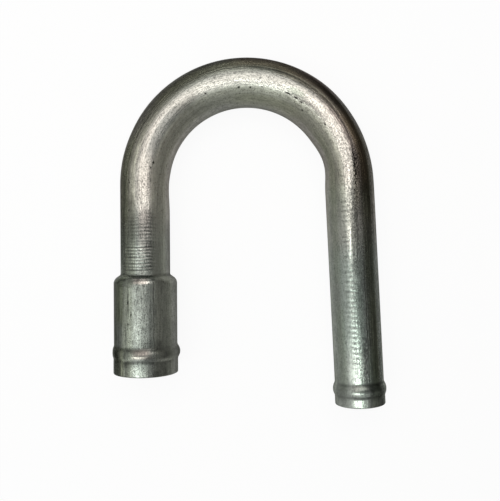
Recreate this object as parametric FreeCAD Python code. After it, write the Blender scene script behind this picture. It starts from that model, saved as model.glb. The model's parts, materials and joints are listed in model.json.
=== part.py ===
import FreeCAD, Part
import math
import os

# A bent metal tube that turns a line back on itself and steps it from 25 to 32 mm hose.
# Its plain end and its swaged socket each carry a rolled bead behind a sized lip.
# Sizes are in millimetres and degrees, and diameters are outside ones.
tube_diameter = 25.0
wall = 1.5
bend_radius = 52.5         # to the middle of the tube
bend_angle = 177.5         # the plain leg splays out by what this lacks of 180
socket_leg = 95.5          # from the end of the bend to the rim
plain_leg = 115.0
socket_diameter = 32.0
socket_length = 45.3       # the straight stretch, from the shoulder to the rim
shoulder_slope = 55.0      # lean of the shoulder's cone from the tube's axis
shoulder_root = 1.0        # hollow curve where the shoulder leaves the tube
shoulder_crest = 4.0       # round curve where it runs into the socket
bead_height = 1.1
bead_crest = 6.0           # curve over the bead's top
bead_root = 3.0            # hollow curves at its feet
socket_bead_in = 10.5      # from the rim to the bead's top
plain_bead_in = 7.7
lip_rise = 0.3             # the lip past each bead stands this proud of its leg
rim_bevel = 0.35

Vector = FreeCAD.Vector
centre = Vector(0, 0, 0)
along = Vector(0, 1, 0)
upright = Vector(0, 0, 1)
tube_radius = tube_diameter / 2
socket_radius = socket_diameter / 2


def line(start, end):
    return Part.makeLine(Vector(*start), Vector(*end))


def arc(middle, radius, start, end):
    # Turns about its middle from one angle to another, in degrees
    angles = [math.radians(angle) for angle in (start, (start + end) / 2, end)]
    points = [Vector(*middle) + Vector(math.cos(a), math.sin(a)) * radius for a in angles]
    return Part.Arc(*points).toShape()


def bead_side(rise):
    # How far the bead's foot lies from its top, and how steep the side gets
    reach = bead_crest + bead_root
    lean = math.acos((reach - rise) / reach)
    return reach * math.sin(lean), math.degrees(lean)


def end_outline(radius, start, rim, bead_in):
    # From a straight stretch over the bead to the lip's rim, as (radius, height)
    top = rim + bead_in
    lip = radius + lip_rise
    upper, upper_lean = bead_side(bead_height)
    lower, lower_lean = bead_side(bead_height - lip_rise)
    return [
        line((radius, start), (radius, top + upper)),
        arc((radius + bead_root, top + upper), bead_root, 180, 180 + upper_lean),
        arc((radius + bead_height - bead_crest, top), bead_crest, upper_lean, -lower_lean),
        arc((lip + bead_root, top - lower), bead_root, 180 - lower_lean, 180),
        line((lip, top - lower), (lip, rim)),
    ]


def shoulder_outline(bottom):
    # From the end of the bend down the tube and out over the shoulder
    lean = math.radians(shoulder_slope)
    curves = shoulder_root + shoulder_crest
    step = socket_radius - tube_radius
    cone = (step - curves * (1 - math.cos(lean))) / math.sin(lean)
    top = bottom + curves * math.sin(lean) + cone * math.cos(lean)
    root = arc((tube_radius + shoulder_root, top), shoulder_root, 180, 180 + shoulder_slope)
    crest = arc((socket_radius - shoulder_crest, bottom), shoulder_crest, shoulder_slope, 0)
    flank = Part.makeLine(root.Vertexes[-1].Point, crest.Vertexes[0].Point)
    return [line((tube_radius, 0), (tube_radius, top)), root, flank, crest]


def turned_leg(outline):
    # The outline takes its wall inwards and is spun about the leg's axis, and its rim is deburred
    section = Part.Wire(outline).makeOffset2D(wall, fill=True, openResult=True)
    leg = section.revolve(centre, along, 360)
    rim = min(leg.Faces, key=lambda face: face.CenterOfMass.y)
    return leg.makeChamfer(rim_bevel, rim.Edges)


def make_plain_leg():
    leg = turned_leg(end_outline(tube_radius, 0, -plain_leg, plain_bead_in))
    leg.translate(Vector(bend_radius, 0, 0))
    leg.rotate(centre, upright, 180 - bend_angle)
    return leg


def make_socket_leg():
    bottom = socket_length - socket_leg
    socket = end_outline(socket_radius, bottom, -socket_leg, socket_bead_in)
    leg = turned_leg(shoulder_outline(bottom) + socket)
    leg.translate(Vector(-bend_radius, 0, 0))
    return leg


def make_bend():
    middle = Vector(-bend_radius, 0, 0)
    circles = [Part.Circle(middle, along, r) for r in (tube_radius, tube_radius - wall)]
    rings = [Part.Wire(circle.toShape()) for circle in circles]
    section = Part.makeFace(rings, "Part::FaceMakerBullseye")
    return section.revolve(centre, upright, -bend_angle)


def lay_down(tube):
    # Left on a flat floor it stands on the socket's bead and on one spot of the bend,
    # and the line through the two passes under its centre of mass
    bead = Vector(-bend_radius, socket_bead_in - socket_leg, 0)
    line_up = (tube.CenterOfMass - bead).normalize()
    back = -bead.dot(line_up)
    reach = back + math.sqrt(back ** 2 - bead.Length ** 2 + bend_radius ** 2)
    outward = (bead + line_up * reach).normalize()
    lift = socket_radius + bead_height - tube_radius
    tilt = math.asin(lift / (bend_radius - bead.dot(outward)))
    tube.rotate(centre, upright.cross(outward), math.degrees(tilt))
    box = tube.optimalBoundingBox(False)
    tube.translate(Vector(-box.Center.x, -box.Center.y, -box.ZMin))
    return tube


joined = make_bend().fuse([make_socket_leg(), make_plain_leg()])
tube = lay_down(joined.removeSplitter().Solids[0])
os.makedirs("parts", exist_ok=True)
tube.exportStep("parts/bent_tube.step")
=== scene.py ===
import bmesh
import bpy
import json
import math
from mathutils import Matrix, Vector, noise


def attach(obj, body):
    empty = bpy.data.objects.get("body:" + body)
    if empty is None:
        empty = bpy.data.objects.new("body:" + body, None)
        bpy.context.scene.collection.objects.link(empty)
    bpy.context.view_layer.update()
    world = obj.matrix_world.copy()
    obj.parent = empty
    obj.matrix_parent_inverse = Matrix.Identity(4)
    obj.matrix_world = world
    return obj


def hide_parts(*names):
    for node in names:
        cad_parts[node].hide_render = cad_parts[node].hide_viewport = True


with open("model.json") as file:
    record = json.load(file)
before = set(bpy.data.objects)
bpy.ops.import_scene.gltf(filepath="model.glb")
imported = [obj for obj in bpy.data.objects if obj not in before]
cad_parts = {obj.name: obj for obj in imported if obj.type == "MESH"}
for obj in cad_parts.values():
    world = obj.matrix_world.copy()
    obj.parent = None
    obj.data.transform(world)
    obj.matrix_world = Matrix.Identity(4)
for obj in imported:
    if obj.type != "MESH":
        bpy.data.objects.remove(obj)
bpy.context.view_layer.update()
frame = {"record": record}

from types import SimpleNamespace

mm = 0.001
scene = bpy.context.scene
scene.view_settings.view_transform = "Standard"


# The camera, straight above the tube as in the photograph

viewpoint = {
    "place": (0.58, -4.746, 323.841),   # mm
    "turn": (-0.911, 0.012, -0.347),    # degrees away from looking straight down
    "focal": 601.0,                     # pixels
    "longSide": 501.0,                  # pixels
    "film": 36.0,                       # mm
    "nearest": 0.01,                    # m
}


def placeCamera():
    lens = bpy.data.cameras.new("overheadCamera")
    lens.sensor_width = viewpoint["film"]
    lens.lens = viewpoint["focal"] * viewpoint["film"] / viewpoint["longSide"]
    lens.clip_start = viewpoint["nearest"]
    camera = bpy.data.objects.new("overheadCamera", lens)
    camera.location = Vector(viewpoint["place"]) * mm
    camera.rotation_euler = [math.radians(a) for a in viewpoint["turn"]]
    scene.collection.objects.link(camera)
    scene.camera = camera


placeCamera()
print("camera placed")


# Shader maths as expressions

class Wire:
    def __init__(self, tree, socket=None):
        self.tree = tree
        self.socket = socket

    def node(self, kind, settings, inputs, output=0):
        made = self.tree.nodes.new(kind)
        for name, value in settings.items():
            setattr(made, name, value)
        for key, value in inputs.items():
            if isinstance(value, Wire):
                self.tree.links.new(value.socket, made.inputs[key])
            else:
                made.inputs[key].default_value = value
        return Wire(self.tree, made.outputs[output] if made.outputs else None)

    def also(self, output):   # another output of the same node
        return Wire(self.tree, self.socket.node.outputs[output])

    def apart(self):   # the three parts of a vector
        first = self.node("ShaderNodeSeparateXYZ", {}, {0: self})
        return first, first.also(1), first.also(2)

    def maths(self, operation, first, second=0.0):
        return self.node("ShaderNodeMath", {"operation": operation}, {0: first, 1: second})

    def __add__(self, other):
        return self.maths("ADD", self, other)

    def __radd__(self, other):
        return self.maths("ADD", other, self)

    def __sub__(self, other):
        return self.maths("SUBTRACT", self, other)

    def __rsub__(self, other):
        return self.maths("SUBTRACT", other, self)

    def __mul__(self, other):
        return self.maths("MULTIPLY", self, other)

    def __rmul__(self, other):
        return self.maths("MULTIPLY", other, self)

    def __truediv__(self, other):
        return self.maths("DIVIDE", self, other)

    def __pow__(self, other):
        return self.maths("POWER", self, other)

    def rise(self, low, high):   # smoothly from 0 at low to 1 at high
        steps = {"interpolation_type": "SMOOTHSTEP"}
        return self.node("ShaderNodeMapRange", steps, {0: self, 1: low, 2: high})

    def lower(self, other):   # the smaller of the two
        return self.maths("MINIMUM", self, other)

    def higher(self, other):
        return self.maths("MAXIMUM", self, other)

    def size(self):
        return self.maths("ABSOLUTE", self)

    def past(self, start, most):   # how far it is past start, from 0 to most
        return (self - start).higher(0.0).lower(most)

    def window(self, low, high, soft):   # 1 from low to high, with soft ends
        return self.rise(low - soft, low + soft) * (1 - self.rise(high - soft, high + soft))

    def stretched(self, factors):
        return self.node("ShaderNodeVectorMath", {"operation": "MULTIPLY"}, {0: self, 1: factors})

    def grain(self, factors, detail, roughness):
        # Noise with its own count of cells per millimetre along each axis
        knobs = {"Vector": self.stretched(factors), "Scale": 1.0,
                 "Detail": detail, "Roughness": roughness}
        return self.node("ShaderNodeTexNoise", {}, knobs)

    def mixed(self, low, high):   # self as the factor between two colours
        return self.node("ShaderNodeMix", {"data_type": "RGBA"}, {0: self, 6: low, 7: high}, 2)

    def tinted(self, colour, factor):
        # The colour laid over self as a filter, as far as the factor says
        way = {"data_type": "RGBA", "blend_type": "MULTIPLY"}
        return self.node("ShaderNodeMix", way, {0: factor, 6: self, 7: colour}, 2)


def freshMaterial(name):
    material = bpy.data.materials.new(name)
    material.use_nodes = True
    material.node_tree.nodes.clear()
    return material, Wire(material.node_tree)


# The straight tube, drawn as half a lengthwise section and spun

tube = {
    # mm, except where degrees are named
    "radius": 12.5,
    "socketRadius": 16.0,
    "wall": 1.5,
    "socketLength": 45.3,     # from the rim to the shoulder
    "shoulderSlope": 55.0,    # degrees
    "shoulderRoot": 1.0,
    "shoulderCrest": 4.0,
    "beadHeight": 1.1,
    "beadCrest": 6.0,
    "beadRoot": 3.0,
    "socketBeadIn": 10.5,     # from the rim to the bead's top
    "plainBeadIn": 7.7,
    "lipRise": 0.3,
    "rimRound": 0.35,
    "bendRadius": 52.5,
    "bendAngle": 177.5,       # degrees
    "socketLeg": 95.5,
    "plainLeg": 115.0,
}
bendLength = tube["bendRadius"] * math.radians(tube["bendAngle"])
bendEnd = tube["socketLeg"] + bendLength
wholeLength = bendEnd + tube["plainLeg"]

meshing = {
    "sides": 112,
    "arcStep": 5.0,             # degrees
    # mm between two rings of vertices, least where the bender left its marks
    "lip": 0.8,
    "socket": 0.9,
    "cone": 0.6,
    "leftRings": 0.27,
    "bend": 1.4,
    "rightRings": 0.45,
    # mm along the tube
    "leftRingsEnd": 86.0,
    "rightRingsStart": 262.0,
    "rightRingsEnd": 358.0,
    "insideCoarser": 2.5,       # times as far apart on the inner face
    "rimSegments": 2,
    "same": 0.01,               # mm, nearer than this is the same place
    "sharp": 40.0,              # degrees between two faces
}


def beadSide(rise):
    reach = tube["beadCrest"] + tube["beadRoot"]
    lean = math.acos((reach - rise) / reach)
    return reach * math.sin(lean), math.degrees(lean)


def sectionStrokes():
    # From the socket's rim to the plain rim: runs as (length, spacing), turns as (radius, degrees),
    # where a positive turn leans outwards
    upper, upperLean = beadSide(tube["beadHeight"])
    lower, lowerLean = beadSide(tube["beadHeight"] - tube["lipRise"])
    bead = [
        ("turn", tube["beadRoot"], lowerLean),
        ("turn", tube["beadCrest"], -lowerLean - upperLean),
        ("turn", tube["beadRoot"], upperLean),
    ]
    slope = tube["shoulderSlope"]
    lean = math.radians(slope)
    curves = tube["shoulderCrest"] + tube["shoulderRoot"]
    step = tube["socketRadius"] - tube["radius"]
    cone = (step - curves * (1 - math.cos(lean))) / math.sin(lean)
    shoulderTop = tube["socketLength"] + curves * math.sin(lean) + cone * math.cos(lean)
    beadFoot = wholeLength - tube["plainBeadIn"] - upper
    leftEnd, rightStart = meshing["leftRingsEnd"], meshing["rightRingsStart"]
    rightEnd = meshing["rightRingsEnd"]
    return [
        ("run", tube["socketBeadIn"] - lower, meshing["lip"]),
        *bead,
        ("run", tube["socketLength"] - tube["socketBeadIn"] - upper, meshing["socket"]),
        ("turn", tube["shoulderCrest"], -slope),
        ("run", cone, meshing["cone"]),
        ("turn", tube["shoulderRoot"], slope),
        ("run", leftEnd - shoulderTop, meshing["leftRings"]),
        ("run", rightStart - leftEnd, meshing["bend"]),
        ("run", rightEnd - rightStart, meshing["rightRings"]),
        ("run", beadFoot - rightEnd, meshing["lip"]),
        *reversed(bead),
        ("run", tube["plainBeadIn"] - lower, meshing["lip"]),
    ]


def drawWall(bm, inset, coarseness):
    # A pen that runs and turns along one face of the wall; its tip is a vertex
    tip = bm.verts.new((tube["socketRadius"] + tube["lipRise"] - inset, 0, 0))
    first, lean = tip, 0.0
    for stroke, size, amount in sectionStrokes():
        if stroke == "run":
            steps = max(round(size / (amount * coarseness)), 1)
            heading = Vector((math.sin(lean), 0, math.cos(lean)))
            for _ in range(steps):
                tip = bmesh.ops.extrude_vert_indiv(bm, verts=[tip])["verts"][0]
                bmesh.ops.translate(bm, verts=[tip], vec=heading * size / steps)
        else:
            side = math.copysign(1, amount)
            reach = side * size + inset
            middle = tip.co + Vector((math.cos(lean), 0, -math.sin(lean))) * reach
            angle = math.radians(amount)
            steps = max(round(abs(amount) / (meshing["arcStep"] * coarseness)), 2)
            turned = bmesh.ops.spin(bm, geom=[tip], cent=middle, axis=(0, 1, 0),
                                    angle=angle, steps=steps)
            tip = next(g for g in turned["geom_last"] if isinstance(g, bmesh.types.BMVert))
            lean += angle
    return first, tip


def isRimRing(edge):
    # An edge that runs round one of the four circles at the tube's ends
    first, second = (v.co for v in edge.verts)
    same = meshing["same"]
    atEnd = any(abs(first.z - end) < same and abs(second.z - end) < same
                for end in (0.0, wholeLength))
    return atEnd and abs(first.xy.length - second.xy.length) < same


def spunTube():
    bm = bmesh.new()
    outerRims = drawWall(bm, 0.0, 1.0)
    innerRims = drawWall(bm, tube["wall"], meshing["insideCoarser"])
    for outer, inner in zip(outerRims, innerRims):
        bm.edges.new((outer, inner))
    bmesh.ops.remove_doubles(bm, verts=bm.verts[:], dist=meshing["same"])
    bmesh.ops.spin(bm, geom=bm.verts[:] + bm.edges[:], cent=(0, 0, 0), axis=(0, 0, 1),
                   angle=math.tau, steps=meshing["sides"], use_merge=True)
    bmesh.ops.remove_doubles(bm, verts=bm.verts[:], dist=meshing["same"])
    bmesh.ops.recalc_face_normals(bm, faces=bm.faces[:])
    bmesh.ops.bevel(bm, geom=[e for e in bm.edges if isRimRing(e)], offset=tube["rimRound"],
                    offset_type="OFFSET", segments=meshing["rimSegments"], profile=0.5,
                    affect="EDGES", material=-1)
    bmesh.ops.recalc_face_normals(bm, faces=bm.faces[:])
    return bm


# Marks of the bender and of handling, pressed into the straight tube, with painted shade and
# highlights laid over them

chatterZones = [
    # Along the tube in mm, the middle and half width round it in degrees, pitch in mm, how narrow
    # the troughs are (1 is as wide as the crests), depth in mm, and how much painted shade a trough
    # has
    {"start": 51.0, "end": 67.5, "fade": 4.0, "middle": 82.0, "half": 50.0,
     "pitch": 1.61, "narrow": 1.5, "depth": 0.17, "shade": 0.66},
    {"start": 62.5, "end": 84.0, "fade": 9.0, "middle": 90.0, "half": 48.0,
     "pitch": 1.72, "narrow": 1.2, "depth": 0.070, "shade": 0.34},
    # this ring mostly paints dark ticks of shade into the edge of the highlight
    {"start": 266.0, "end": 348.0, "fade": 12.0, "middle": 112.0, "half": 12.0,
     "pitch": 2.51, "narrow": 1.0, "depth": 0.020, "shade": 0.24},
    {"start": 264.0, "end": 322.0, "fade": 10.0, "middle": 112.0, "half": 19.0,
     "pitch": 2.51, "narrow": 1.0, "depth": 0.070, "shade": 0.14},
    {"start": 312.0, "end": 360.0, "fade": 12.0, "middle": 114.0, "half": 23.0,
     "pitch": 2.51, "narrow": 1.0, "depth": 0.075, "shade": 0.12},
]
chatterNoise = {
    # how fast it changes along the tube and round it, its seed, and how strong it is
    "wander": (0.25, 0.7, 3.0, 0.7),
    "uneven": (0.45, 0.9, 9.0, 0.9),
    "usual": 0.9,      # how deep the rings are, times their depth
    "least": 0.1,
}


def smooth(value, low, high):
    part = min(max((value - low) / (high - low), 0.0), 1.0)
    return part * part * (3 - 2 * part)


def window(value, low, high, fade):
    return (smooth(value, low - fade, low + fade)
            * (1 - smooth(value, high - fade, high + fade)))


def chatterNoiseAt(name, s, around):
    along, across, seed, strength = chatterNoise[name]
    return strength * noise.noise(Vector((s * along, around * across, seed)))


def chatter(s, around):
    # How far the skin is pressed in, and how much painted shade darkens it there
    sunk, shade = 0.0, 0.0
    for zone in chatterZones:
        if zone["start"] < s < zone["end"]:
            away = abs(math.degrees(around) - zone["middle"])
            strength = (smooth(s, zone["start"], zone["start"] + zone["fade"] * 0.4)
                        * (1 - smooth(s, zone["end"] - zone["fade"], zone["end"]))
                        * (1 - smooth(away, zone["half"] * 0.4, zone["half"])))
            turn = math.tau * s / zone["pitch"] + chatterNoiseAt("wander", s, around)
            wave = (0.5 - 0.5 * math.cos(turn)) ** zone["narrow"]
            uneven = chatterNoise["usual"] + chatterNoiseAt("uneven", s, around)
            press = strength * wave * max(uneven, chatterNoise["least"])
            sunk += zone["depth"] * press
            # painted shade in the trough
            shade += zone["shade"] * press
    return sunk, shade


drawnIn = [
    # Flats that the bending left. Along the tube: from, to and fade in mm. Round it: middle and
    # half width in degrees. Depth in mm
    {"start": 236.0, "end": 255.0, "fade": 9.0, "middle": 180.0, "half": 75.0, "depth": 1.0},
    {"start": 222.0, "end": 254.0, "fade": 12.0, "middle": 0.0, "half": 60.0, "depth": 0.45},
    {"start": 112.0, "end": 124.0, "fade": 9.0, "middle": 0.0, "half": 55.0, "depth": 0.2},
    {"start": 88.0, "end": 98.0, "fade": 8.0, "middle": 180.0, "half": 60.0, "depth": 0.5},
]


def drawnInBy(s, around):
    sunk = 0.0
    for flat in drawnIn:
        along = window(s, flat["start"], flat["end"], flat["fade"])
        if along:
            away = abs(math.degrees(around) - flat["middle"]) % 360
            away = min(away, 360 - away)
            sunk += flat["depth"] * along * (1 - smooth(away, 0.0, flat["half"]))
    return sunk


beadOffset = {"middle": 10.5, "reach": 4.6, "shift": 0.35}   # mm, towards the inner side


# Painted shade and painted highlights, partly tarnish: where the skin is darker or lighter. Along
# the tube: from, to and fade in mm. Round it: from, to and fade in degrees, and how many degrees it
# climbs per mm. How much darker the metal is there; below 0 it is lighter
patches = [
    # the socket's lip and bead
    (-2.0, 3.0, 1.0, 110, 122, 4, 0, 0.36),
    (-2.0, 6.0, 1.0, 85, 91, 2, 0, 0.26),
    (-2.0, 7.5, 0.5, 98, 108, 4, 0, -0.38),
    (4.5, 7.2, 0.6, 50, 96, 6, 0, 0.26),
    (6.4, 7.6, 0.3, 56, 112, 4, 0, 0.40),
    (6.7, 7.7, 0.3, 24, 152, 8, 0, 0.26),
    (4.5, 14.0, 1.0, 58, 70, 4, 0, 0.18),
    (8.6, 10.1, 0.4, 66, 96, 4, 0, -0.80),
    (9.5, 12.5, 0.8, 84, 92, 3, 0, 0.24),
    (9.6, 12.6, 0.6, 92, 126, 4, 0, -0.30),
    (12.0, 14.4, 0.6, 52, 92, 5, 0, 0.30),
    (13.4, 14.6, 0.4, 24, 152, 8, 0, 0.22),
    (12.8, 18.0, 1.2, 80, 130, 5, 0, 0.30),
    # the socket and its shoulder
    (14.0, 46.0, 3.0, 18, 42, 6, 0, -0.25),
    (14.0, 47.0, 2.0, 146, 180, 8, 0, -0.26),
    (28.0, 46.0, 4.0, 130, 160, 5, 0, -0.26),
    (28.0, 47.0, 4.0, 55, 63, 3, 0, 0.18),
    (32.0, 49.0, 3.0, 83, 89, 2, 0, 0.34),
    (42.0, 48.0, 1.5, 82, 90, 3, 0, 0.22),
    (43.8, 49.5, 1.0, 42, 76, 6, 0, 0.34),
    (43.8, 49.5, 1.0, 108, 130, 5, 0, 0.16),
    (45.8, 48.6, 0.8, 90, 106, 5, 0, -0.20),
    (45.0, 55.0, 2.0, 24, 52, 5, 0, -0.28),
    # the socket's leg
    (49.5, 59.0, 2.0, 84, 97, 4, 0, 0.26),
    (51.0, 66.0, 1.5, 96, 114, 4, 0, 0.30),
    (52.0, 65.0, 3.0, 60, 86, 4, 0, -0.36),
    (51.0, 66.0, 3.0, 108, 132, 6, 0, 0.14),
    (52.0, 66.0, 3.0, 36, 57, 5, 0, -0.30),
    (66.0, 80.0, 3.0, 66, 84, 4, 0, 0.14),
    (65.5, 83.0, 3.0, 84, 113, 5, 0, 0.30),
    (66.0, 88.0, 3.0, 53, 75, 4, 0, 0.32),
    (58.0, 97.0, 5.0, 8, 28, 4, 0, 0.45),
    (75.0, 86.0, 3.0, 109, 126, 4, 0, 0.18),
    (82.5, 88.0, 1.5, 99, 108, 3, 0, -0.26),
    (83.0, 97.0, 4.0, 42, 54, 4, 0, 0.18),
    (89.0, 101.0, 3.0, 67, 74, 3, 0, -0.24),
    (94.0, 101.0, 3.0, 103, 110, 3, 0, 0.20),
    (84.0, 112.0, 6.0, 54, 62, 4, 0, 0.20),
    # the first part of the bend
    (88.0, 113.0, 4.0, 104, 113, 3, 0, 0.18),
    (88.0, 116.0, 5.0, 115, 124, 4, 0, 0.18),
    (104.0, 126.0, 5.0, 75, 82, 3, 0, 0.16),
    (100.0, 134.0, 6.0, 38, 53, 4, 0, -0.42),
    (110.0, 148.0, 8.0, 92, 111, 5, 0, 0.44),
    (127.0, 148.0, 6.0, 108, 129, 6, 0, 0.24),
    (124.0, 160.0, 6.0, 60, 77, 4, 0, 0.30),
    # its crown
    (164.0, 184.0, 6.0, 92, 107, 4, 0, -0.15),
    (150.0, 200.0, 6.0, 16, 38, 4, 0, 0.42),
    (152.0, 204.0, 6.0, 97, 112, 4, 0, -0.42),
    (158.0, 200.0, 6.0, 48, 58, 4, 0, -0.60),
    (164.0, 198.0, 6.0, 63, 76, 4, 0, -0.32),
    # its last part
    (196.0, 216.0, 4.0, 60, 73, 4, 0, -0.35),
    (200.0, 213.0, 3.0, 73, 79, 2, 0, 0.20),
    (201.0, 222.0, 3.0, 102, 110, 3, 0, 0.28),
    (200.0, 224.0, 5.0, 84, 100, 4, 0, -0.22),
    (198.0, 240.0, 5.0, 118, 133, 5, 0, 0.36),
    (212.0, 226.0, 4.0, 66, 71, 2, 0, -0.35),
    (204.0, 250.0, 8.0, 136, 153, 8, 0, 0.15),
    (221.0, 233.0, 4.0, 81, 90, 4, 0, -0.30),
    (213.0, 242.0, 5.0, 60, 73, 4, 0, -0.24),
    (224.0, 238.0, 4.0, 59, 66, 2, 0, -0.35),
    (218.0, 246.0, 5.0, 54, 64, 3, 0, 0.20),
    (226.0, 246.0, 6.0, 95, 115, 5, 0, -0.24),
    (214.0, 264.0, 5.0, 49, 60, 4, 0, 0.38),
    (234.0, 244.0, 3.0, 86, 94, 3, 0, -0.26),
    (238.0, 252.0, 4.0, 74, 82, 3, 0.30, 0.16),
    (244.0, 257.0, 3.0, 83, 88, 2, 0, 0.26),
    (246.0, 264.0, 4.0, 98, 109, 4, 0, -0.28),
    (250.0, 266.0, 4.0, 54, 76, 5, 0, 0.34),
    (254.0, 264.0, 3.0, 64, 80, 3, 0, 0.18),
    (244.0, 278.0, 4.0, 62, 84, 4, 0.36, 0.46),
    # the plain leg
    (248.0, 278.0, 8.0, 121, 134, 5, 0, 0.28),
    (262.0, 278.0, 4.0, 67, 78, 4, 0, 0.16),
    (264.0, 282.0, 4.0, 100, 112, 4, 0, -0.20),
    (262.0, 284.0, 4.0, 87, 98, 3, 0, 0.32),
    (258.0, 290.0, 5.0, 37, 50, 4, 0, 0.34),
    (266.0, 292.0, 4.0, 106, 113, 3, 0, -0.16),
    (274.0, 304.0, 5.0, 84, 99, 2.5, 0, 0.26),
    (278.0, 300.0, 4.0, 60, 72, 4, 0, 0.24),
    (282.0, 300.0, 3.0, 102, 109, 2, 0, -0.48),
    (276.0, 306.0, 4.0, 97, 103, 2, 0, 0.42),
    (262.0, 336.0, 8.0, 59, 74, 4, 0, 0.50),
    (276.0, 322.0, 6.0, 72, 94, 5, 0, 0.26),
    (250.0, 350.0, 10.0, 158, 180, 6, 0, -0.18),
    (274.0, 330.0, 12.0, 112, 130, 7, 0, 0.22),
    (300.0, 316.0, 5.0, 62, 74, 4, 0, 0.26),
    (264.0, 361.0, 6.0, 49, 60, 4, 0, 0.56),
    (298.0, 330.0, 5.0, 96, 106, 3, 0, 0.16),
    (264.0, 366.0, 8.0, 24, 49, 4, 0, -0.42),
    (296.0, 336.0, 5.0, 76, 84, 3, 0, 0.22),
    (300.0, 334.0, 5.0, 88, 97, 3, 0, 0.26),
    (264.0, 373.0, 8.0, 164, 180, 6, 0, -0.25),
    (318.0, 336.0, 4.0, 105, 113, 3, 0, -0.22),
    # its last part
    (328.0, 359.0, 6.0, 91, 102, 3, 0, -0.42),
    (336.0, 362.0, 4.0, 62, 73, 3, 0, 0.48),
    (338.0, 361.0, 5.0, 110, 124, 4, 0, -0.20),
    (344.0, 361.0, 3.0, 88, 97, 2, 0, -0.26),
    (352.0, 360.0, 2.0, 112, 130, 4, 0, -0.26),
    # the plain end's bead and lip
    (361.2, 362.4, 0.3, 24, 152, 8, 0, 0.28),
    (361.2, 365.0, 0.6, 48, 118, 6, 0, 0.52),
    (360.0, 368.0, 1.0, 76, 88, 4, 0, 0.10),
    (361.5, 369.5, 1.0, 46, 76, 5, 0, 0.30),
    (361.5, 369.5, 1.0, 122, 162, 6, 0, 0.26),
    (365.7, 367.3, 0.4, 80, 106, 4, 0, -0.50),
    (367.2, 368.4, 0.3, 24, 152, 8, 0, 0.32),
    (368.8, 374.0, 0.4, 82, 100, 1.5, 0, -0.80),
]

# Where the skin has another hue. As above without the climb, and what the metal's red, green and
# blue are multiplied by
tints = [
    (0.0, 14.0, 1.0, 34, 56, 5, (1.0, 1.0, 0.88)),
    (9.2, 13.6, 0.6, 74, 104, 7, (1.0, 0.87, 0.86)),
    (26.0, 48.0, 4.0, 34, 54, 5, (0.97, 1.0, 0.86)),
    (-5.0, 80.0, 10.0, 113, 190, 9, (1.0, 0.95, 0.96)),
    (45.6, 48.4, 0.8, 74, 104, 7, (1.0, 0.87, 0.86)),
    (50.0, 80.0, 3.0, 34, 54, 5, (1.0, 1.0, 0.92)),
    (60.0, 82.0, 4.0, 84, 110, 6, (1.0, 0.95, 0.96)),
    (78.0, 116.0, 6.0, 32, 55, 5, (0.95, 1.0, 0.87)),
    (110.0, 136.0, 8.0, 90, 114, 6, (0.95, 1.0, 1.02)),
    (-5.0, 271.0, 9.0, 112, 152, 8, (0.98, 1.0, 0.93)),
    (132.0, 200.0, 8.0, 42, 64, 6, (0.99, 1.0, 0.9)),
    (-5.0, 380.0, 1.0, 48, 74, 7, (0.99, 1.0, 0.91)),
    (170.0, 212.0, 8.0, 130, 165, 6, (0.99, 1.0, 0.92)),
    (172.0, 218.0, 8.0, 26, 62, 6, (1.0, 0.89, 0.875)),
    (193.0, 218.0, 5.0, 54, 76, 4, (1.0, 0.94, 0.9)),
    (200.0, 236.0, 6.0, 30, 44, 4, (1.0, 1.0, 1.08)),
    (218.0, 262.0, 8.0, 48, 84, 6, (1.0, 0.89, 0.875)),
    (228.0, 262.0, 6.0, 55, 72, 4, (1.0, 0.9, 0.86)),
    (228.0, 280.0, 7.0, 48, 70, 6, (0.98, 1.0, 0.87)),
    (252.0, 272.0, 5.0, 76, 90, 4, (1.0, 0.98, 0.9)),
    (226.0, 312.0, 8.0, 132, 154, 6, (0.97, 1.0, 0.94)),
    (262.0, 284.0, 6.0, 88, 170, 7, (0.95, 1.0, 0.99)),
    (288.0, 312.0, 6.0, 48, 72, 6, (0.99, 1.0, 0.93)),
    (296.0, 345.0, 8.0, 78, 136, 6, (0.96, 1.0, 1.0)),
    (316.0, 362.0, 7.0, 46, 66, 5, (1.0, 1.0, 0.88)),
    (322.0, 366.0, 8.0, 128, 152, 6, (0.96, 1.0, 0.93)),
    (310.0, 380.0, 10.0, 84, 102, 6, (0.952, 1.0, 0.98)),
    (344.0, 368.0, 6.0, 52, 78, 5, (0.94, 1.0, 0.97)),
]


# How much light the painted shade and highlights of the patches leave
def patchLight(s, around):
    light = 1.0
    for start, end, fade, first, last, soft, climb, amount in patches:
        angle = abs(math.degrees(around)) - climb * (s - start)
        if start - fade < s < end + fade:
            light *= 1 - amount * window(s, start, end, fade) * window(angle, first, last, soft)
    return light


def tintOf(s, around):
    colour = Vector((1.0, 1.0, 1.0))
    angle = abs(math.degrees(around))
    for start, end, fade, first, last, soft, tint in tints:
        if start - fade < s < end + fade:
            amount = window(s, start, end, fade) * window(angle, first, last, soft)
            colour *= Vector((1.0, 1.0, 1.0)).lerp(Vector(tint), amount)
    return colour


def pressMarksAndPaintedLight(bm):
    straight = bm.verts.layers.float_vector.new("straight")
    shade = bm.verts.layers.float.new("shade")
    tint = bm.verts.layers.float_vector.new("tint")
    for v in bm.verts:
        v[straight] = v.co
        s, r = v.co.z, v.co.xy.length
        around = math.atan2(v.co.y, v.co.x)
        sunk = drawnInBy(s, around)
        if r > tube["radius"] - tube["wall"] / 2:
            pressed, trough = chatter(s, around)
            sunk += pressed
            # the painted shade in the chatter troughs, with the painted shade and highlights of the
            # patches
            v[shade] = 1 - (1 - trough) * patchLight(s, around)
        v[tint] = tintOf(s, around)
        v.co.x *= 1 - sunk / r
        v.co.y *= 1 - sunk / r
        away = abs(s - beadOffset["middle"])
        v.co.x -= beadOffset["shift"] * (1 - smooth(away, 0.0, beadOffset["reach"]))


# The bend, and its place in the row's frame

def rimOf(mount):
    # The middle of a rim and the way it faces, from the lip that ends in it
    axis = Vector(mount["axis"]).normalized()
    reach = mount["dims"]["length_mm"] / 2 + tube["rimRound"]
    return Vector(mount["pos_m"]) / mm + axis * reach, axis


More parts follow.
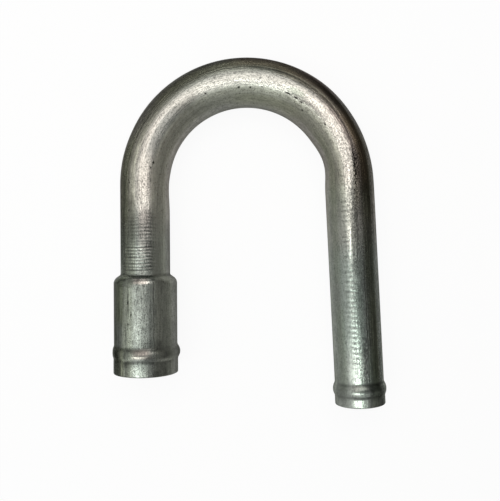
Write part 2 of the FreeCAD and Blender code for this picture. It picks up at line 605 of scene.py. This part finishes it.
def bendAndPlace(bm):
    mounts = {m["name"]: m for m in frame["record"]["mounts"]}
    socketRim, socketOut = rimOf(mounts["socket_lip"])
    plainRim, plainOut = rimOf(mounts["plain_lip"])
    up = socketOut.cross(plainRim - socketRim).normalized()
    right = up.cross(-socketOut) * -1
    bendMiddle = socketRim - socketOut * tube["socketLeg"] + right * tube["bendRadius"]
    full = math.radians(tube["bendAngle"])
    for v in bm.verts:
        outward, height, s = v.co
        turn = min(max((s - tube["socketLeg"]) / tube["bendRadius"], 0.0), full)
        away = -right * math.cos(turn) - socketOut * math.sin(turn)
        point = bendMiddle + away * (tube["bendRadius"] + outward) + up * height
        if s < tube["socketLeg"]:
            point += socketOut * (tube["socketLeg"] - s)
        elif s > bendEnd:
            point += plainOut * (s - bendEnd)
        v.co = point * mm


# The metal

metal = {
    "green": (0.395, 0.422, 0.384, 1),       # the legs and the socket
    "warm": (0.428, 0.412, 0.372, 1),        # round the bend
    "crownWarmth": -0.5,                     # as much more of that on the crown
    "edge": (0.30, 0.30, 0.29, 1),           # seen at a low angle
    "patch": (0.70, 0.78, 0.72, 1),
    "patchSpot": (204.0, 98, 11.0, 3.6),     # as the pits below
    "patchStrength": 0.8,
    "innerCoarseness": 0.80,                 # of the inner side, against 1 elsewhere
    "sheenCalm": 0.7,                        # how calm the grain is in the highlight
}
grains = {
    # Noise: cells per mm round the tube and along it, octaves, and how rough it is
    "broad": (0.11, 0.05, 3.0, 0.5),
    "cloud": (0.45, 0.22, 4.0, 0.6),
    "blot": (0.60, 0.34, 3.0, 0.65),
    "speckle": (1.15, 0.80, 3.0, 0.7),
    "grit": (2.3, 1.7, 3.0, 0.6),
    "scuff": (1.9, 0.20, 3.0, 0.65),
    "hair": (3.0, 0.07, 3.0, 0.6),
    "drawn": (1.3, 0.018, 4.0, 0.70),        # long lines from the die
    "turned": (0.03, 2.6, 2.0, 0.5),         # rings on the socket
}
zones = {
    # Along the tube: from, to and fade in mm
    "lipAndBead": (-20.0, 13.5, 1.5),
    "smoothStart": (-20.0, 14.25, 1.25),
    "socketBead": (9.2, 13.6, 0.6),
    "socket": (-20.0, 48.0, 3.0),
    "shoulder": (45.6, 48.4, 0.8),
    "shoulderFoot": (49.2, 50.6, 0.4),
    "leftRings": (50.5, 80.5, 2.0),
    "innerRim": (50.5, 76.0, 4.0),
    "warm": (78.0, 288.0, 14.0),
    "bend": (94.0, 262.0, 10.0),
    "crown": (138.0, 206.0, 22.0),
    "farLines": (168.0, 252.0, 8.0),
    "farBand": (202.0, 276.0, 14.0),
    "tear": (243.0, 262.0, 4.0),
    "plainEnd": (330.0, 400.0, 8.0),
    "plainLip": (359.25, 400.0, 0.75),
    "smoothEnd": (360.0, 400.0, 1.0),
}
areas = {
    # The same, and then round it: from, to and fade in degrees
    "leftRingsTop": (50.5, 79.5, 2.5, 52.0, 122.0, 8.0),
    "shoulderTop": (45.6, 48.4, 0.8, 87.0, 107.0, 5.0),
    "sheen": (98.0, 258.0, 14.0, 74.0, 118.0, 6.0),
    # painted shade below the highlight on top
    "dull": (197.0, 234.0, 9.0, 104.0, 119.0, 4.0),
    "pitsOnTop": (150.0, 275.0, 12.0, 97.0, 122.0, 6.0),
    "pitsBeside": (235.0, 352.0, 12.0, 66.0, 98.0, 6.0),
    "pitsAtEnd": (338.0, 361.0, 5.0, 77.0, 88.0, 3.0),
}
sides = {
    # Which way the skin faces: from and to, where 1 is the bend's outer side and -1 its inner one
    "outer": (0.10, 0.50),
    "furrowed": (0.08, 0.42),
    "flank": (0.45, 0.78),
    "outerEdge": (0.50, 0.80),
    "notInner": (-0.60, -0.15),
    "innerSide": (-0.20, -0.60),
    "inner": (-0.50, -0.85),
    "innerEdge": (-0.78, -0.94),
}
toneValues = {
    # How much lighter the metal is where a grain is high
    "mottle": {"broad": 0.36, "cloud": 0.36},
    "grain": {"speckle": 0.66, "scuff": 0.9, "grit": 0.9, "blot": 0.6, "hair": 1.2},
    "grainChange": {"leftRings": -0.3, "calm": -0.20, "socket": 0.2},   # as much more of it there
    "calmSpeckle": 0.40,
    "drawn": 0.60,
    "drawnOutside": 1.35,           # as much more on the bend's outer side
    "hairOutside": 1.2,
    # painted highlight on the shoulder's top; painted shade at its foot and on the socket's bead;
    # darker over the rings' top
    "zones": {"leftRingsTop": -0.24, "socketBead": -0.25, "shoulderFoot": -0.32,
              "shoulderTop": 0.9},
    "socket": -0.12,
    "socketInside": -0.30,          # as much more on the socket's inner side, as painted shade
    "socketTurn": (87.0, 93.0),     # degrees, where that side starts
    "least": 0.02,
}
roughValues = {
    "plain": 0.19,
    "grain": {"cloud": 0.14, "drawn": 0.10},
    "speckle": 0.16,
    "marks": 0.25,
    "zones": {"innerSide": 0.26, "outerEdge": 0.10, "leftRings": -0.03, "shoulder": -0.14,
              "plainEnd": -0.03, "polish": -0.06, "socketWall": 0.08},
    "least": 0.08,
}
bumpValues = {
    "height": 0.00028,              # m
    "grain": {"scuff": 0.22, "speckle": 0.11, "grit": 0.12},
    "grainChange": {"leftRings": -0.65, "calm": -0.6},
    "drawn": 0.33,
    "drawnCalm": -0.10,
    "hair": 0.13,
    "turned": 0.12,
    "marks": -0.35,
}
edges = {
    # How soft the edges of marks are: from and to, where 1 is the edge
    "spot": (0.6, 1.25),
    "line": (0.4, 1.6),
    "lineEnd": 2.5,      # mm
    "farLine": 0.4,      # degrees
}
ragged = {
    # How far the edges of marks wander with the grain
    "grit": 1.6, "pits": 1.6, "patch": 2.0, "lines": 2.0, "linesCloud": 8.0, "farLines": 0.7,
}
shadeAndTarnishValues = {
    # How dark the painted shade and tarnish are, and how much that changes along the drawn lines or
    # in the clouds
    "flank": (0.38, 0.4),
    "farBand": (0.46, 0.6),
    "inner": (0.15, 0.5),
    "innerLater": 0.22,             # as much more further along
    "later": (60.0, 165.0),         # mm
    "dull": (0.20, 0.9),
    "most": 0.90,
    "rim": 0.28,
}
farBand = {"start": 198.0, "climbs": 38.0, "from": 43.0, "slope": 0.42, "half": (5.0, 14.0)}
farLines = [
    # degrees round the tube where it starts, its half width, and how much lighter it is; together
    # the painted highlight and shade of a ridge
    (63.0, 2.2, 0.50), (67.8, 1.7, -0.50),
]
farClimbs = [
    # mm along the tube where they start to climb, for how many mm, and degrees per mm
    (200.0, 36.0, 0.26), (236.0, 20.0, 0.50),
]
# "cut" is where the grain starts and ends to show
furrow = {"cut": (0.51, 0.61), "depth": 0.12, "outsideBend": 0.44}
tear = {"start": 240.0, "from": 77.0, "slope": 0.40, "half": (4.0, 13.0), "depth": 0.85,
        "grit": 0.4, "cut": (0.46, 0.54)}
specks = {
    # One shows where its grain is below this: from and to, how much higher that is where the tube
    # is pitted, and how dark a speck is
    "speckle": (0.31, 0.38, 0.07, 0.5),
    "grit": (0.36, 0.43, 0.05, 0.42),
    "calmer": 0.5,
    "atEnd": 2.0,                   # how much more pitted the plain end is
}
pits = [
    # along the tube in mm, round it in degrees, length and width in mm
    (154.8, 109, 1.6, 0.7), (106.4, 113, 1.8, 1.1), (173.2, 114, 1.4, 0.8),
    (179.6, 116, 1.5, 0.9), (212.0, 126, 1.2, 0.7), (226.8, 111, 1.8, 0.7),
    (95.6, 60, 1.0, 0.7), (82.0, 59, 0.9, 0.7), (36.4, 66, 2.4, 0.8), (30.8, 72, 2.2, 0.8),
    (26.0, 66, 1.4, 0.6), (9.6, 116, 2.6, 0.6), (103.5, 109, 1.0, 0.5), (186.0, 112, 1.0, 0.5),
    (249.5, 80, 2.4, 1.0), (252.0, 85, 2.8, 0.8), (256.0, 83, 2.0, 1.1), (257.5, 87, 1.8, 0.7),
    (261.0, 86, 1.8, 0.8), (264.5, 89, 1.3, 0.6), (246.5, 83, 2.0, 0.6), (254.0, 78, 1.6, 0.6),
    (200.5, 109, 3.2, 0.8), (205.5, 110, 2.4, 0.9), (209.0, 112, 1.6, 0.7),
]
pitDepth = 0.92
darkLines = [
    # from and to along the tube, where round it at each end, width in mm, depth
    (13.8, 46.0, 113, 113, 0.35, 0.55), (14.5, 45.0, 108, 109, 0.25, 0.4),
    (20.0, 44.0, 64, 66, 0.3, 0.35), (96.0, 128.0, 50, 58, 0.5, 0.6),
    (100.0, 116.0, 76, 78, 0.6, 0.3), (128.0, 158.0, 60, 61, 0.4, 0.45),
    (140.0, 172.0, 65, 67, 0.45, 0.45),
    (276.0, 300.0, 86, 90, 0.5, 0.5), (300.0, 362.0, 76, 77, 0.6, 0.5),
    (330.0, 361.0, 81, 82, 0.4, 0.4),
]
darkLineDepth = {"least": 0.2, "cloud": 1.6}
brightLines = [
    # the same, with how bright it is: bright scratches, and painted highlights along a highlight's
    # edge
    (283.0, 298.0, 103.0, 107.0, 0.5, 1.8), (80.5, 87.0, 84, 78, 0.3, 0.7),
    (82.5, 89.5, 80, 74, 0.25, 0.6), (85.5, 91.0, 76, 71, 0.25, 0.6),
    (18.0, 25.0, 75, 79, 1.0, 0.35), (100.0, 113.0, 70, 70, 1.3, 0.55),
    (79.0, 86.0, 90, 86, 0.3, 0.7),
]
brightLineTone = {"usual": 0.60, "scuff": 0.8}


def radiusAt(s):
    return tube["socketRadius"] if s < tube["socketLength"] else tube["radius"]


def spotMask(skin, spot, wobble):
    # An uneven patch on the skin
    s, angle, long, wide = spot
    turn = math.radians(angle)
    middle = (radiusAt(s) * math.cos(turn), radiusAt(s) * math.sin(turn), s)
    away = skin.straight.node("ShaderNodeVectorMath", {"operation": "SUBTRACT"},
                              {0: skin.straight, 1: middle})
    away = away.stretched((2 / wide, 2 / wide, 2 / long))
    reach = away.node("ShaderNodeVectorMath", {"operation": "LENGTH"}, {0: away}, "Value")
    return 1 - (reach + wobble).rise(*edges["spot"])


def lineMask(skin, line, wobble):
    # A thin line that runs along the tube, slanted a little
    start, end, first, last, width, strength = line
    slope = (last - first) / (end - start)
    off = (skin.angle - (skin.s - start) * slope - first + wobble).size()
    half = math.degrees(width / 2 / radiusAt(start))
    low, high = edges["line"]
    along = skin.s.window(start, end, edges["lineEnd"])
    return (1 - off.rise(half * low, half * high)) * along * strength


def speckMask(skin, name, pitted):
    low, high, lift, depth = specks[name]
    return (1 - (getattr(skin, name) - pitted * lift).rise(low, high)) * depth


def highest(masks):
    top = masks[0]
    for mask in masks[1:]:
        top = top.higher(mask)
    return top


def weighed(skin, weights, level=0.5):
    # How far each grain is above a level, times its weight, added up
    total = 0
    for name, weight in weights.items():
        total = total + (getattr(skin, name) - level) * weight
    return total


def changed(value, skin, changes):
    # As much more of a value as each zone says
    for name, change in changes.items():
        value = value * (1 + change * getattr(skin, name))
    return value


def readSkin(start):
    # Where a point lies on the straight tube, and the grains, zones and sides there
    straight = start.node("ShaderNodeAttribute", {"attribute_name": "straight"}, {}, 1)
    x, y, s = straight.apart()
    out = x / (x * x + y * y) ** 0.5
    angle = y.maths("ARCTAN2", y, x) * math.degrees(1)
    skin = SimpleNamespace(straight=straight, s=s, angle=angle)
    for name, (across, along, octaves, rough) in grains.items():
        setattr(skin, name, straight.grain((across, across, along), octaves, rough))
    for name, along in zones.items():
        setattr(skin, name, s.window(*along))
    for name, reach in areas.items():
        setattr(skin, name, s.window(*reach[:3]) * angle.window(*reach[3:]))
    for name, ends in sides.items():
        setattr(skin, name, out.rise(*ends))
    least = metal["innerCoarseness"]
    skin.coarse = least + (1 - least) * skin.notInner
    skin.calm = highest([skin.smoothStart, skin.smoothEnd, skin.sheen * metal["sheenCalm"]])
    skin.polish = skin.lipAndBead.higher(skin.plainLip)
    skin.socketWall = skin.socket * (1 - skin.lipAndBead)
    skin.wobble = (skin.grit - 0.5) * ragged["grit"]
    return skin


def plainTone(skin):
    # How light the metal is before its tarnish, painted shade and marks; it holds a painted
    # highlight on the shoulder's top, and painted shade on the socket's inner side, its bead and
    # the shoulder's foot
    values = toneValues
    calmGrain = (skin.speckle - 0.5) * values["calmSpeckle"] * skin.calm
    fine = changed(calmGrain + weighed(skin, values["grain"]), skin, values["grainChange"])
    drawn = (skin.drawn - 0.5) * (values["drawn"] + values["drawnOutside"] * skin.outer)
    hair = (skin.hair - 0.5) * values["hairOutside"] * skin.outer
    tone = 1 + weighed(skin, values["mottle"]) + skin.coarse * fine + (drawn + hair)
    socket = values["socket"] + values["socketInside"] * skin.angle.rise(*values["socketTurn"])
    return changed(tone, skin, values["zones"]) * (1 + skin.socket * socket)


def paintedShadeAndTarnish(skin):
    # Painted shade for the dim room that the metal reflects: on the outer flank, on the inner side
    # and its edge by the rings, and in a spot below the highlight on top. In a band that climbs
    # over the last half of the bend, tarnish and painted shade
    climbed = skin.s.past(farBand["start"], farBand["climbs"]) * farBand["slope"]
    off = (skin.angle - (climbed + farBand["from"])).size()
    places = {
        "flank": (skin.flank, skin.drawn),
        "farBand": ((1 - off.rise(*farBand["half"])) * skin.farBand, skin.drawn),
        "inner": (skin.inner, skin.cloud),
        "dull": (skin.dull, skin.cloud),
    }
    shadeAndTarnish = skin.inner * skin.s.rise(*shadeAndTarnishValues["later"]) * shadeAndTarnishValues["innerLater"]
    for name, (where, grain) in places.items():
        depth, change = shadeAndTarnishValues[name]
        shadeAndTarnish = shadeAndTarnish + where * (depth + (grain - 0.5) * change)
    rim = skin.innerEdge * skin.innerRim * shadeAndTarnishValues["rim"]
    return (1 - shadeAndTarnish.higher(0.0).lower(shadeAndTarnishValues["most"])) * (1 - rim)


def furrowsAndPaintedRidge(skin):
    # Two lines that climb towards the far leg, a light one and a dark one, the painted highlight
    # and shade of a ridge; and dark furrows, most of them outside the bend
    climbed = sum(skin.s.past(start, most) * slope for start, most, slope in farClimbs)
    tone = 1
    for place, width, change in farLines:
        off = (skin.angle - climbed - place + skin.wobble * ragged["farLines"]).size()
        tone = tone * (1 + change * skin.farLines * (1 - off.rise(edges["farLine"], width)))
    groove = (skin.drawn * 0.5 + skin.hair * 0.5).rise(*furrow["cut"])
    depth = furrow["depth"] + furrow["outsideBend"] * skin.bend * skin.furrowed
    return tone * (1 - groove * depth)


def darkMarks(skin):
    waver = skin.wobble * ragged["pits"]
    holes = highest([spotMask(skin, spot, waver) for spot in pits]) * pitDepth
    waver = skin.wobble * ragged["lines"] + (skin.cloud - 0.5) * ragged["linesCloud"]
    depth = darkLineDepth["least"] + darkLineDepth["cloud"] * skin.cloud
    lines = highest([lineMask(skin, line, waver) for line in darkLines]) * depth
    pitted = skin.pitsOnTop + skin.pitsBeside + skin.pitsAtEnd * specks["atEnd"]
    large = speckMask(skin, "speckle", pitted) * skin.coarse
    dots = large.higher(speckMask(skin, "grit", pitted)) * (1 - specks["calmer"] * skin.calm)
    off = (skin.angle - (skin.s - tear["start"]) * tear["slope"] - tear["from"]).size()
    torn = (1 - off.rise(*tear["half"])) * skin.tear * tear["depth"]
    coarse = skin.grit * tear["grit"] + skin.speckle * (1 - tear["grit"])
    return highest([holes, lines, dots, (1 - coarse.rise(*tear["cut"])) * torn])


def roughnessOf(skin, marks):
    values = roughValues
    speckle = (skin.speckle - 0.5) * values["speckle"] * skin.coarse
    rough = values["plain"] + weighed(skin, values["grain"]) + speckle + marks * values["marks"]
    return (rough + weighed(skin, values["zones"], 0.0)).higher(values["least"])


def heightOf(skin, marks):
    values = bumpValues
    grain = changed(weighed(skin, values["grain"], 0.0), skin, values["grainChange"])
    drawn = skin.drawn * (values["drawn"] + values["drawnCalm"] * skin.calm)
    rings = skin.turned * values["turned"] * skin.socket
    return (grain * skin.coarse + drawn + skin.hair * values["hair"] + rings
            + marks * values["marks"])


def tubeMetal():
    material, start = freshMaterial("drawnAluminium")
    skin = readSkin(start)
    warmth = skin.warm * (1 + metal["crownWarmth"] * skin.crown)
    colour = warmth.mixed(metal["green"], metal["warm"])
    tint = start.node("ShaderNodeAttribute", {"attribute_name": "tint"}, {}, 1)
    patch = spotMask(skin, metal["patchSpot"], skin.wobble * ragged["patch"])
    patch = patch * metal["patchStrength"]
    colour = colour.tinted(tint, 1.0).tinted(metal["patch"], patch)

    shade = start.node("ShaderNodeAttribute", {"attribute_name": "shade"}, {}, 2)
    marks = darkMarks(skin)
    # bright scratches, and painted highlights along a highlight's edge
    glints = highest([lineMask(skin, line, skin.wobble) for line in brightLines])
    glints = glints * (brightLineTone["usual"] + brightLineTone["scuff"] * (skin.scuff - 0.5))
    # painted shade and highlights come in with the tarnish, the shade attribute and the ridge lines
    tone = plainTone(skin) * paintedShadeAndTarnish(skin) * (1 - shade) * furrowsAndPaintedRidge(skin) * (1 - marks)
    tone = (tone + glints).higher(toneValues["least"])
    colour = colour.tinted(tone.node("ShaderNodeCombineXYZ", {}, {0: tone, 1: tone, 2: tone}), 1.0)

    bump = start.node("ShaderNodeBump", {}, {
        "Strength": 1.0, "Distance": bumpValues["height"], "Height": heightOf(skin, marks)})
    surface = start.node("ShaderNodeBsdfPrincipled", {}, {
        "Base Color": colour, "Metallic": 1.0, "Roughness": roughnessOf(skin, marks),
        "Normal": bump, "Specular Tint": metal["edge"]})
    start.node("ShaderNodeOutputMaterial", {}, {0: surface})
    return material


def makeTube():
    bm = spunTube()
    pressMarksAndPaintedLight(bm)
    bendAndPlace(bm)
    mesh = bpy.data.meshes.new("bentTube")
    bm.to_mesh(mesh)
    bm.free()
    mesh.shade_smooth()
    mesh.set_sharp_from_angle(angle=math.radians(meshing["sharp"]))
    piece = bpy.data.objects.new("bentTube", mesh)
    scene.collection.objects.link(piece)
    mesh.materials.append(tubeMetal())
    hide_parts("bent_tube")
    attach(piece, "root")
    return piece


bentTube = makeTube()
print("tube made:", len(bentTube.data.vertices), "vertices")


# Floor and light

studio = {
    "floorSize": 20.0,        # m
    "floorColour": (0.93, 0.93, 0.93),
    "whiteness": 0.92,        # how much of the floor's look is plain white
    "level": 1.25,            # times every brightness below
    "roomMiddle": 0.233,
    "roomLean": (-0.138, -0.091, 0.087),   # the room gets brighter along this
    "horizon": 0.8,           # the white wall low down all round
    "horizonEdge": (0.14, 0.22),           # how high it is, where 1 is straight up
}
softBoxes = [
    # middle and size in metres, turn in degrees, brightness where a white card would be 1
    {"name": "mainBox", "middle": (-0.010, 0.153, 0.386), "size": (0.274, 0.388), "turn": -63.8,
     "brightness": 1.50, "colour": (1.0, 0.945, 0.92)},
    {"name": "sideBox", "middle": (-0.143, 0.148, 0.386), "size": (0.954, 0.554), "turn": 65.0,
     "brightness": 0.40, "colour": (0.97, 1.0, 0.95)},
    {"name": "stripBox", "middle": (-0.310, -0.322, 0.900), "size": (0.620, 0.215), "turn": 0.0,
     "brightness": 2.7, "colour": (0.94, 1.0, 0.96)},
]
darkCard = {
    "bendMiddle": (0.0, 0.024),   # m
    "radius": 0.099,              # m, 34 mm outside the tube
    "foot": -0.19,                # m, where its two straight ends stop
    "steps": 32,
    "left": 0.031,                # m, its height at the near leg and at the far one
    "right": 0.086,
    "brightness": 0.13,
}


def makeFloor():
    bm = bmesh.new()
    bmesh.ops.create_grid(bm, x_segments=1, y_segments=1, size=studio["floorSize"] / 2)
    mesh = bpy.data.meshes.new("floor")
    bm.to_mesh(mesh)
    bm.free()
    floor = bpy.data.objects.new("floor", mesh)
    scene.collection.objects.link(floor)
    material, start = freshMaterial("paleFloor")
    paper = start.node("ShaderNodeBsdfDiffuse", {}, {"Color": (*studio["floorColour"], 1)})
    white = start.node("ShaderNodeEmission", {}, {"Color": (1, 1, 1, 1), "Strength": 1.0})
    seen = start.node("ShaderNodeLightPath", {}, {}, "Is Camera Ray")
    seen = seen + seen.also("Is Glossy Ray") + seen.also("Is Transmission Ray")
    factor = seen.rise(0.0, 1.0) * studio["whiteness"]
    look = start.node("ShaderNodeMixShader", {}, {0: factor, 1: paper, 2: white})
    start.node("ShaderNodeOutputMaterial", {}, {0: look})
    mesh.materials.append(material)


def lightRoom():
    world = bpy.data.worlds.new("studio")
    scene.world = world
    world.use_nodes = True
    world.node_tree.nodes.clear()
    start = Wire(world.node_tree)
    direction = start.node("ShaderNodeTexCoord", {}, {}, "Generated")
    lean = start.node("ShaderNodeVectorMath", {"operation": "DOT_PRODUCT"},
                      {0: direction, 1: studio["roomLean"]}, "Value")
    steep = direction.apart()[2]
    low = 1 - steep.size().rise(*studio["horizonEdge"])
    room = (studio["roomMiddle"] + lean) * (1 - low) + studio["horizon"] * low
    sky = start.node("ShaderNodeBackground", {}, {"Color": (1, 1, 1, 1),
                                                  "Strength": room * studio["level"]})
    start.node("ShaderNodeOutputWorld", {}, {0: sky})
    for box in softBoxes:
        lamp = bpy.data.lights.new(box["name"], "AREA")
        lamp.shape = "RECTANGLE"
        lamp.size, lamp.size_y = box["size"]
        lamp.energy = (studio["level"] * box["brightness"] * math.pi
                       * box["size"][0] * box["size"][1])
        lamp.color = box["colour"]
        holder = bpy.data.objects.new(box["name"], lamp)
        holder.location = box["middle"]
        holder.rotation_euler[2] = math.radians(box["turn"])
        holder.visible_camera = False
        scene.collection.objects.link(holder)


def standCard():
    # Seen by the metal alone, it gives it the dark outer edge that a dim room does
    bm = bmesh.new()
    x, y = darkCard["bendMiddle"]
    radius = darkCard["radius"]
    tip = bm.verts.new((x - radius, darkCard["foot"], 0))
    straight = (0, y - darkCard["foot"], 0)
    tip = bmesh.ops.extrude_vert_indiv(bm, verts=[tip])["verts"][0]
    bmesh.ops.translate(bm, verts=[tip], vec=straight)
    turned = bmesh.ops.spin(bm, geom=[tip], cent=(x, y, 0), axis=(0, 0, -1), angle=math.pi,
                            steps=darkCard["steps"])
    tip = next(g for g in turned["geom_last"] if isinstance(g, bmesh.types.BMVert))
    tip = bmesh.ops.extrude_vert_indiv(bm, verts=[tip])["verts"][0]
    bmesh.ops.translate(bm, verts=[tip], vec=[-a for a in straight])
    raised = bmesh.ops.extrude_edge_only(bm, edges=bm.edges[:])["geom"]
    for v in (g for g in raised if isinstance(g, bmesh.types.BMVert)):
        across = (v.co.x - x + radius) / (2 * radius)
        v.co.z = darkCard["left"] + (darkCard["right"] - darkCard["left"]) * across
    mesh = bpy.data.meshes.new("darkCard")
    bm.to_mesh(mesh)
    bm.free()
    piece = bpy.data.objects.new("darkCard", mesh)
    scene.collection.objects.link(piece)
    material, start = freshMaterial("darkCard")
    glow = darkCard["brightness"] * studio["level"]
    start.node("ShaderNodeOutputMaterial", {}, {0: start.node(
        "ShaderNodeEmission", {}, {"Color": (1, 1, 1, 1), "Strength": glow})})
    mesh.materials.append(material)
    piece.visible_camera = piece.visible_diffuse = piece.visible_shadow = False


makeFloor()
lightRoom()
standCard()
print("floor and lights made")
